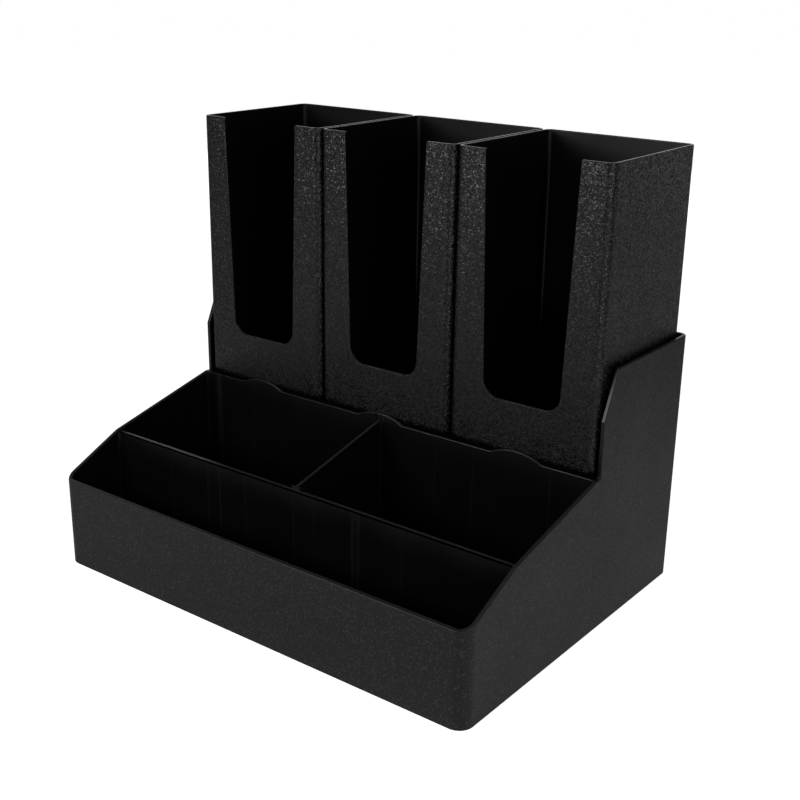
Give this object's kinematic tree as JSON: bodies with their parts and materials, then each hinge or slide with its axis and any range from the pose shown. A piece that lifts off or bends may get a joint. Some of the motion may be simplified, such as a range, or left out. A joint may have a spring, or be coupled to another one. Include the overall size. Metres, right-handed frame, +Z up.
{
  "type": "cup and condiment station",
  "caption": "Countertop station with square lift-off cup towers, each with an open front slot, on a raised deck behind open condiment compartments.",
  "frame": {"origin": "centre of the base's footprint, on the surface the station stands on", "axes": "+Z up, +Y from the open front to the back wall, +X to the right of someone facing the front"},
  "size_m": [0.31, 0.231, 0.2727],
  "materials": {
    "base_plastic": "satin black moulding with a fine grain on the front",
    "tower_plastic": "black moulding with a pebbled grain on its outer faces"
  },
  "bodies": {
    "base": {"base_caddy": "base_plastic"},
    "tower_left": {"cup_tower_left": "tower_plastic"},
    "tower_centre": {"cup_tower_centre": "tower_plastic"},
    "tower_right": {"cup_tower_right": "tower_plastic"}
  },
  "joints": [
    {"name": "tower_left_lift", "type": "slide", "parent": "base", "child": "tower_left", "axis": [0, 0, 1], "range_m": [0, 0.075]},
    {"name": "tower_centre_lift", "type": "slide", "parent": "base", "child": "tower_centre", "axis": [0, 0, 1], "range_m": [0, 0.075]},
    {"name": "tower_right_lift", "type": "slide", "parent": "base", "child": "tower_right", "axis": [0, 0, 1], "range_m": [0, 0.075]}
  ]
}
